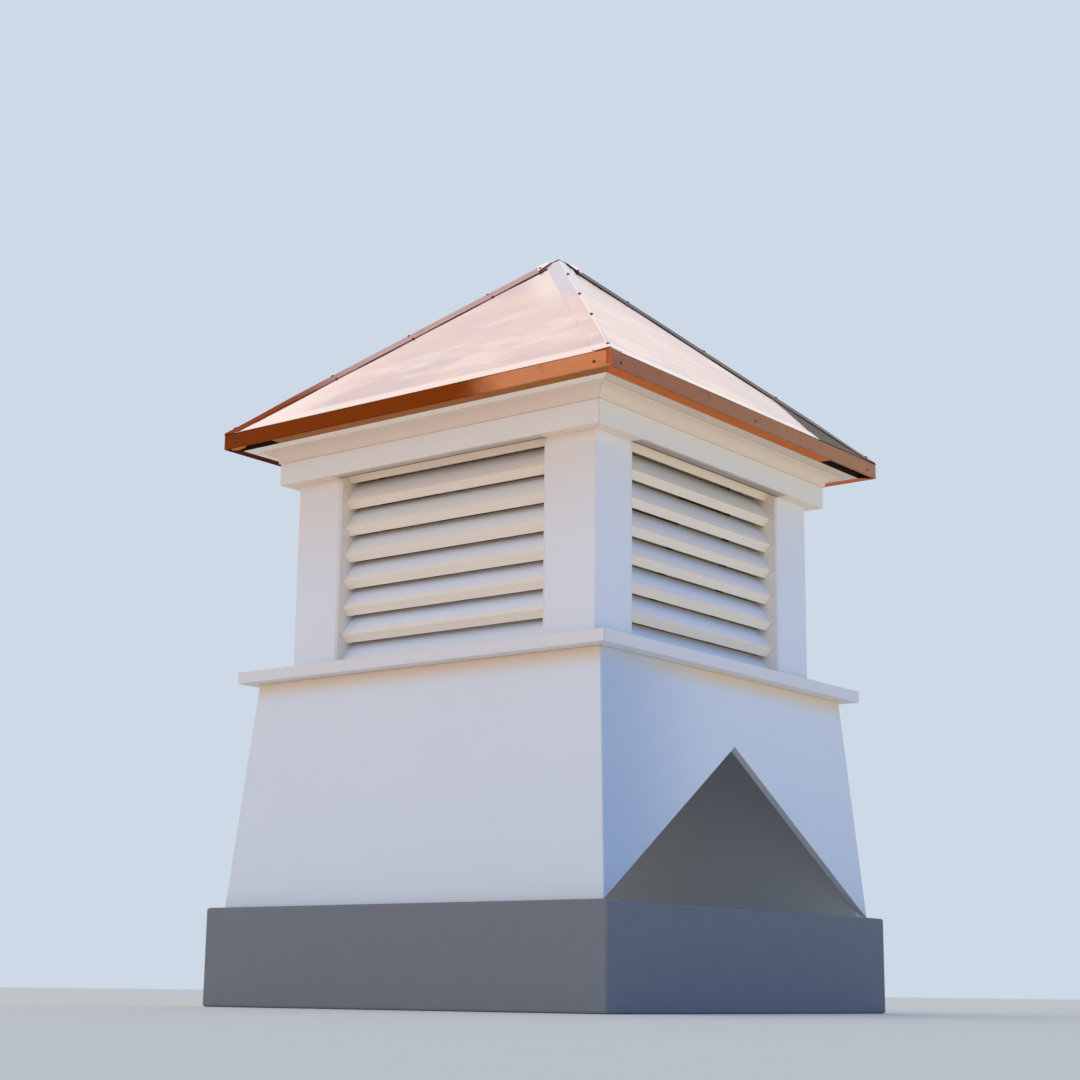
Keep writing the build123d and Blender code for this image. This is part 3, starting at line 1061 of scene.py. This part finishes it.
def hip_cap(corner, material, to_the_tip=False):
    """The section's points, each carried from under the apex cap, or from the tip, to the eave's plane.

    A cap that goes to the tip starts 0.6 mm + 0.55 |across| down the hip, which cuts its end along two rays,
    and its top lies UNDER_LID below the apex cap's.
    """
    across = np.concatenate([-HALF_SECTION[:0:-1], HALF_SECTION])[None, :]
    share = np.linspace(0, 1, 110)[:, None] ** 1.2
    height = hip_section(abs(across))
    lean = (UP_HIP[0] - UP_HIP[1]) / 2
    reach = abs(across) / math.sqrt(2) + height * lean
    first, last = (APEX_RIM - reach) / DOWN_HIP[0], (EAVE - reach) / DOWN_HIP[0]
    if to_the_tip:
        first = 0.0006 + 0.55 * abs(across)
    down = first + share * (last - first)
    nearest = np.abs(down[..., None] - RIVET_STATIONS).min(axis=-1)
    clear_of_rivets = smooth((nearest - 0.015) / 0.05)
    clear_of_ends = smooth((0.62 - down) / 0.03) * smooth((down - 0.06) / 0.03)
    lift = 0.0003 * clear_of_rivets * clear_of_ends * (abs(across) / HALF_SECTION[-1]) ** 3
    height = hip_section(abs(across), pressed(down)) + lift
    grid = hip_point(*np.broadcast_arrays(across, height, down))
    if to_the_tip:
        grid[..., 2] = np.minimum(grid[..., 2], lid_height(np.abs(grid[..., :2]).max(axis=-1)) - UNDER_LID)
    cap = shell(f"{corner}_hip_strip", quarter_turn(grid, CORNERS.index(corner)), material)
    return settle(thicken(cap, SHEET), "copper", f"{corner}_hip_cap")


hip_cap("front_right", hip_bright, to_the_tip=True)
hip_cap("back_right", hip_grey)
hip_cap("back_left", hip_brown)
hip_cap("front_left", hip_brown)
print("hip caps stand", round(CREST * 1000, 1), "mm high at the crest")

# %% [markdown]
# ## The apex cap
#
# The top is closed by a thin cap that folds down over three of the hips, and the fourth hip's cap runs up
# to the tip between its legs. Each leg is a kite: it widens along a ray from the tip, its middle stands a
# little proud of the hip cap, its edges come down near the sheets and the metal's cut edge is painted dark,
# a painted shadow line. The legs are one stack of grids over the distance along the hip and the share of
# the leg's half width.

# %% Apex cap
LEG_LENGTH = 0.0366
LEG_SPREAD = 0.483
LEG_ROOT = 0.003
LEG_FOLD = 0.0030
LEG_SPRING = 0.0018


def leg_point(along, share):
    """A place on the front right leg: plan from two diagonals, height from the cap's profile.

    The half width is LEG_ROOT + LEG_SPREAD * along, but never past the middle of the roof's face. The edge
    is folded down by up to LEG_FOLD and the leg's end is sprung up by LEG_SPRING, both growing from the tip.
    """
    width = np.minimum(along, LEG_ROOT + LEG_SPREAD * along)
    across = share * width
    grown = along / LEG_LENGTH
    out = (along + abs(across)) / math.sqrt(2)
    height = lid_height(out) - LEG_FOLD * grown * abs(share) ** 1.5 + LEG_SPRING * grown**2
    plan = (along + across) / math.sqrt(2), (across - along) / math.sqrt(2)
    return side_by_side(*plan, height)


def apex_cap():
    """Three legs: the front right one carried round to the other corners."""
    along, share = np.meshgrid(np.linspace(0.0004, LEG_LENGTH, 30), np.linspace(-1, 1, 25), indexing="ij")
    leg = leg_point(along, share)
    cap = shell("apex_lid", np.stack([quarter_turn(leg, quarter) for quarter in (1, 2, 3)]), lid_copper)
    return settle(thicken(cap, SHEET, painted_shadow_rim), "copper", "apex_cap")


lid = apex_cap()
print("apex cap rises to", round(max(corner[2] for corner in lid.bound_box), 4))

# %% [markdown]
# ## The drip edges
#
# A strip of copper is folded down over the eave: a face, a small round fold at its foot and a hem that turns
# in under the soffit. At the corners one strip's end is folded round on to the next. The right one laps both
# its neighbours, and these lap the left one, so the faces stand a metal's thickness apart. Rivets pull the
# face in slightly, and it is a little wavy between them.
#
# The face is a grid: columns follow its plan, from a lap round a rounded corner to the other end, and rows
# follow its profile. On a lap the profile is a plain upright strip whose foot is clipped at an angle.

# %% Drip edge faces
LAP_WIDTH = 0.0065
FOLD = 0.0011
CORNER_ROUND = 0.0020
FACE_INSET = {"front": 0.0010, "right": 0.0006, "back": 0.0010, "left": 0.0018}
LAPS = {"front": (True, False), "right": (True, True), "back": (False, True), "left": (False, False)}
WAVE_START = {"front": 10, "right": 10, "back": 8, "left": 8}
PLAIN_END = EAVE - 0.0011
EAVE_RIVETS = (-0.3495, 0.0, 0.3495)
RIVET_LEVEL = 0.7245
DIMPLE_DEPTH, DIMPLE_WIDTH = 0.0004, 0.0045
LAP_CLIP = 0.0030


def plan_path(side):
    """Points along the plan of one face, their outward normals and how much each belongs to a lap.

    All five numbers of a point are one row: x, y, the normal's x and y, and the share that is lap. A lap at
    the left end is the right one's rows with both x turned round, in the opposite order.
    """
    face = EAVE - FACE_INSET[side]
    corner = face - CORNER_ROUND
    lap_left, lap_right = LAPS[side]
    run = np.linspace(-corner if lap_left else -PLAIN_END, corner if lap_right else PLAIN_END, 241)
    turn = np.linspace(0, math.pi / 2, 7)[1:]
    sine, cosine = np.sin(turn), np.cos(turn)
    beyond = np.linspace(0, LAP_WIDTH - CORNER_ROUND, 4)[1:] - corner
    round_x, round_y = corner + CORNER_ROUND * sine, -corner - CORNER_ROUND * cosine
    rounded = side_by_side(round_x, round_y, sine, -cosine, smooth(turn / turn[-1]))
    lap = np.concatenate([rounded, side_by_side(face, beyond, 1.0, 0.0, 1.0)])
    straight = side_by_side(run, -face, 0.0, -1.0, 0.0)
    left = (lap * (-1, 1, -1, 1, 1))[::-1]
    path = np.concatenate([left] * lap_left + [straight] + [lap] * lap_right)
    return path[:, :2], path[:, 2:4], path[:, 4]


def face_profile(inset):
    """Rows of (distance out from the face, height): hem's start, fold, face, fold and flange.

    The face stands inset inside the sheet's edge, so it reaches up by inset * SLOPE to touch the sheet.
    """
    quarter = np.linspace(0, math.pi / 2, 5)
    low_fold = side_by_side(FOLD * (np.sin(quarter) - 1), SOFFIT_FOOT + FOLD * (1 - np.cos(quarter)))
    head = EAVE_TOP + inset * SLOPE
    levels = np.linspace(SOFFIT_FOOT + FOLD, head - 0.0004, 15)[1:-1]
    upright = side_by_side(0.0, levels)
    flange = (-0.0080, head - 0.0003 + 0.0080 * SLOPE)
    top = np.array([(0.0, head - 0.0004), (-0.0003, head - 0.0001), flange])
    start = np.array([[-0.0040, SOFFIT_FOOT + 0.0009]])
    return np.concatenate([start, low_fold, upright, top])


def drip_face(side, material):
    """Plan point + outward normal times the profile's distance, less the dimples and the slow waves."""
    points, normals, lapped = plan_path(side)
    profile = face_profile(FACE_INSET[side])
    lengths = np.concatenate([[0], np.cumsum(np.linalg.norm(np.diff(profile, axis=0), axis=1))])
    share = lengths / lengths[-1]
    beyond = smooth((lapped - 0.2) / 0.8)
    lap_low = SOFFIT_FOOT + LAP_CLIP * beyond
    lap_height = lap_low[None, :] + share[:, None] * (EAVE_TOP - lap_low[None, :])
    distance = profile[:, :1] * (1 - lapped)
    height = profile[:, 1:] * (1 - lapped) + lap_height * lapped
    along = points[:, 0][None, :]
    flat = 1 - lapped
    waves = 0.00012 * (1 + np.sin(24 * along + WAVE_START[side])) + 0.00008 * (1 + np.sin(57 * along))
    dimples = sum(
        DIMPLE_DEPTH * np.exp(-((along - middle) ** 2 + (height - RIVET_LEVEL) ** 2) / (2 * DIMPLE_WIDTH**2))
        for middle in EAVE_RIVETS
    )
    distance = distance - flat * (waves + dimples)
    plan = points[None] + normals[None] * distance[..., None]
    height = np.minimum(height, roof_height(np.abs(plan).max(axis=-1)) - 0.0001)
    grid = np.concatenate([plan, height[..., None]], axis=-1)
    piece = side_shell(side, "drip_face", grid, material, solid=False)
    return settle(thicken(piece, SHEET), "copper", f"{side}_drip_edge")


drip_face("front", front_edge)
drip_face("right", right_edge)
drip_face("back", plain_edge)
drip_face("left", plain_edge)

# %% [markdown]
# The hem is the part that shows from below. On the front it stops short of the left corner, and on the right
# it stops short of the back corner, where the strip was cut and not folded, so one looks up into a dark gap.
# A small tab of the cut metal is still there at the left corner.

# %% Hems
FRONT_CUT = 0.105
RIGHT_CUT = 0.148


def hem(side, ends, material=hem_copper):
    """A flat strip with the thickness of the metal, from the soffit's edge to the fold."""
    outer = EAVE - FACE_INSET[side] - FOLD
    outline = block(SOFFIT_EDGE, outer, SOFFIT_FOOT, SOFFIT_FOOT + SHEET)
    strip = ease(mitred_side(side, "hem", outline, material, ends), 0.0002, 1)
    return settle(strip, "copper", f"{side}_drip_edge")


hem("front", (-(EAVE - FRONT_CUT), None), hem_olive)
hem("right", (None, EAVE - RIGHT_CUT))
hem("back", (None, None))
hem("left", (None, None), hem_dark)


def corner_tab():
    """A sliver that hangs from the front face's fold: length along x, width down z and a slight curl in y."""
    along, across = np.meshgrid(np.linspace(0, 1, 13), np.linspace(0, 1, 7), indexing="ij")
    drop = 0.0048 * np.sin(math.pi * (0.12 + 0.80 * along)) ** 0.7
    x = -0.3610 + 0.0320 * along
    y = -(EAVE - 0.0022) + 0.0020 * across**2
    z = SOFFIT_FOOT + 0.0008 - drop * across
    tab = shell("front_left_tab", side_by_side(x, y, z), tab_copper)
    return settle(thicken(tab, 0.0006), "copper")


corner_tab()
print("hem cut back", FRONT_CUT, "m on the front and", RIGHT_CUT, "m on the right")

# %% [markdown]
# ## Rivets
#
# Small domed rivets hold the copper. A dome is a profile turned about its axis, so a set of rivets is one
# stack of grids: each needs its centre and the direction it points in, and two directions across that. The
# places are worked out on the front side or the front right hip and carried round to the others.

# %% Rivets
def rivets(name, spots, radius=0.0027, height=0.0010, material=rivet_copper):
    """Centre + r cos(a) * across + r sin(a) * other + h * normal, for a flattened dome of (r, h) rows.

    Each spot is a pair of the rivet's centre and the direction that it points in.
    """
    centres, normals = np.moveaxis(np.asarray(spots, float), 1, 0)
    normals = normals / np.linalg.norm(normals, axis=1)[:, None]
    across = np.cross(normals, [0.31, 0.17, 0.93])
    across /= np.linalg.norm(across, axis=1)[:, None]
    other = np.cross(normals, across)
    lean = np.linspace(0, math.pi / 2, 6)[:-1]
    rows = side_by_side(np.cos(lean) * radius, np.sin(lean) * height)
    rows = np.vstack([[radius, -0.0008], rows, [0.12 * radius, height]])
    angle = np.linspace(0, 2 * math.pi, 17)[:-1, None]
    circle = np.cos(angle) * across[:, None] + np.sin(angle) * other[:, None]
    level = rows[:, None, :1] * circle[:, None]
    upright = rows[:, None, 1:] * normals[:, None, None]
    grids = centres[:, None, None] + level + upright
    return settle(shell(name, grids, material, around=True, caps=True), "copper")


def carried(quarter, place, normal):
    """A rivet's centre and direction, carried round to another side or corner."""
    return quarter_turn(place, quarter), quarter_turn(normal, quarter)


def flange_normal(way):
    """The direction square to the lap of the front right hip: way is -1 on its front side, 1 on its right."""
    return way * math.sin(FALL) * ACROSS_HIP + math.cos(FALL) * UP_HIP


def hip_spot(across, sink, station):
    """A place on the hip cap's outer face at a distance down the hip, sunk a little into it."""
    height = hip_section(abs(across), pressed(station)) - sink
    return hip_point(*np.array([[across], [height], [station]]))[0]


def eave_rivets():
    """Three on each face of the eave, one near each corner and one in the middle."""
    spots = []
    for quarter, side in enumerate(SIDES):
        face = EAVE - FACE_INSET[side] - 0.0005
        spots += [carried(quarter, (along, -face, RIVET_LEVEL), (0, -1, 0)) for along in EAVE_RIVETS]
    rivets("eave_rivets", spots)


def hip_rivets():
    """At each station one on the crest and one on the lap at its foot.

    The front hip's lap shows only the lower two, on its front side, and they are as bright as the sheet.
    """
    crests, laps = [], []
    for quarter in range(4):
        way = -1 if quarter == 0 else 1
        for station in RIVET_STATIONS:
            crests.append(carried(quarter, hip_spot(0.0, 0.0002, station), UP_HIP))
            laps.append(carried(quarter, hip_spot(way * LAP_RIVET, 0.0001, station), flange_normal(way)))
    count = len(RIVET_STATIONS)
    rivets("hip_rivets", crests + laps[count:], 0.0026, 0.0012)
    rivets("bright_hip_rivets", laps[2:count], 0.0026, 0.0008, sheet_plain)


def apex_rivets():
    """One near each lower corner of the apex cap's legs."""
    spots = [
        carried(quarter, leg_point(0.88 * LEG_LENGTH, 0.68 * way), flange_normal(way))
        for quarter in (1, 2, 3)
        for way in (-1, 1)
    ]
    rivets("apex_rivets", spots, 0.0028, 0.0012)


apex_rivets()
eave_rivets()
hip_rivets()

# %% Finishes on the CAD nodes that stay
def wear(node, material):
    """Put a finish on a CAD node's material slots."""
    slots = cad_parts[node].material_slots
    for place in slots:
        place.material = material
    if not slots:
        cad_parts[node].data.materials.append(material)


STILL_CAD = {"soffit": soffit_cream, "post": post_vinyl, "jambs": jamb_vinyl, "roof_boards": ply_material}
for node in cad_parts:
    for ending, material in STILL_CAD.items():
        if node.endswith(ending):
            wear(node, material)

# %% [markdown]
# ## A last update
#
# At the end the view layer is updated once more.

# %% Final update
bpy.context.view_layer.update()
